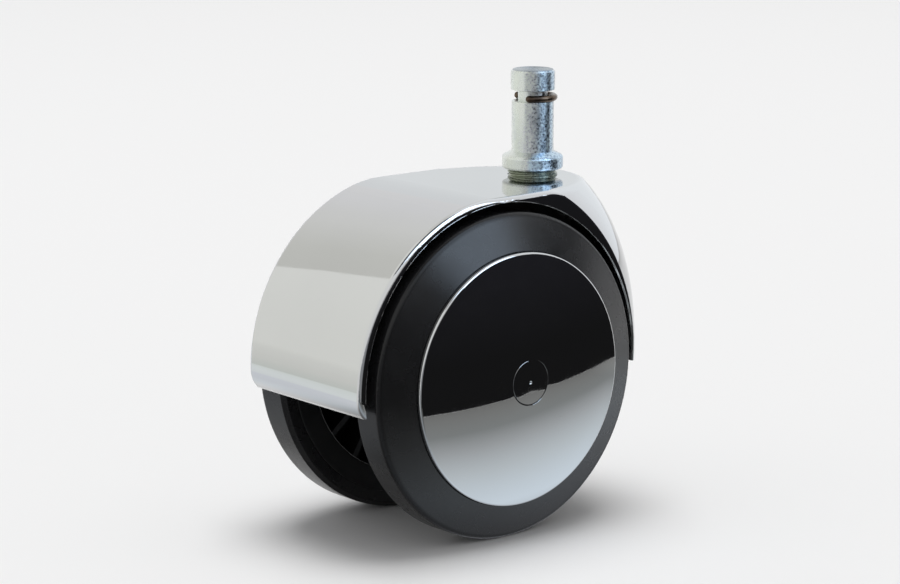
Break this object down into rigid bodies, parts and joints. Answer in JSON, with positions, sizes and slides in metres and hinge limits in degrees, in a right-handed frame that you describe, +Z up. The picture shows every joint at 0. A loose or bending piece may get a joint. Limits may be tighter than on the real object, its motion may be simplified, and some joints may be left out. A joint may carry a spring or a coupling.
{
  "type": "hooded swivel castor",
  "caption": "Twin-wheel swivel castor with a chrome hood, an offset axle, black wheels with domed chrome caps and a grip-ring stem.",
  "frame": {"origin": "on the swivel axis, where the stem's barrel meets its collar and a socket's mouth rests", "axes": "+Z up along the stem, +X forward so the wheels trail on the -X side, +Y along the axle to the left wheel"},
  "size_m": [0.0948, 0.0634, 0.1098],
  "materials": {
    "zinc_steel": "bright zinc plating, fine turned lines, faint blue and yellow cast",
    "dark_spring_steel": "dark oiled spring steel",
    "axle_steel": "bright drawn steel",
    "white_bearing_plastic": "natural acetal, smooth",
    "hood_chrome": "bright chrome plate over a casting",
    "black_nylon": "black moulded nylon, fine grain",
    "tyre_black": "satin black, smooth",
    "cap_chrome": "bright chrome plate over a moulding"
  },
  "bodies": {
    "stem_body": {"stem": "zinc_steel", "grip_ring": "dark_spring_steel", "stem_washer": "zinc_steel", "stem_clip": "dark_spring_steel"},
    "swivel_body": {"hood": "hood_chrome", "frame": "black_nylon", "hood_screws": "zinc_steel", "swivel_bush": "zinc_steel", "lower_bush": "white_bearing_plastic", "axle": "axle_steel", "inner_washer_left": "zinc_steel", "inner_washer_right": "zinc_steel", "outer_washer_left": "zinc_steel", "outer_washer_right": "zinc_steel", "axle_clip_left": "dark_spring_steel", "axle_clip_right": "dark_spring_steel"},
    "wheel_left": {"hub_left": "black_nylon", "tyre_left": "tyre_black", "cap_left": "cap_chrome", "wheel_bush_left": "white_bearing_plastic"},
    "wheel_right": {"hub_right": "black_nylon", "tyre_right": "tyre_black", "cap_right": "cap_chrome", "wheel_bush_right": "white_bearing_plastic"}
  },
  "joints": [
    {"name": "swivel", "type": "hinge", "parent": "stem_body", "child": "swivel_body", "pos_m": [0, 0, 0], "axis": [0, 0, 1], "continuous": true},
    {"name": "wheel_left_spin", "type": "hinge", "parent": "swivel_body", "child": "wheel_left", "pos_m": [-0.0278, 0.019, -0.0495], "axis": [0, 1, 0], "continuous": true},
    {"name": "wheel_right_spin", "type": "hinge", "parent": "swivel_body", "child": "wheel_right", "pos_m": [-0.0278, -0.019, -0.0495], "axis": [0, 1, 0], "continuous": true}
  ]
}
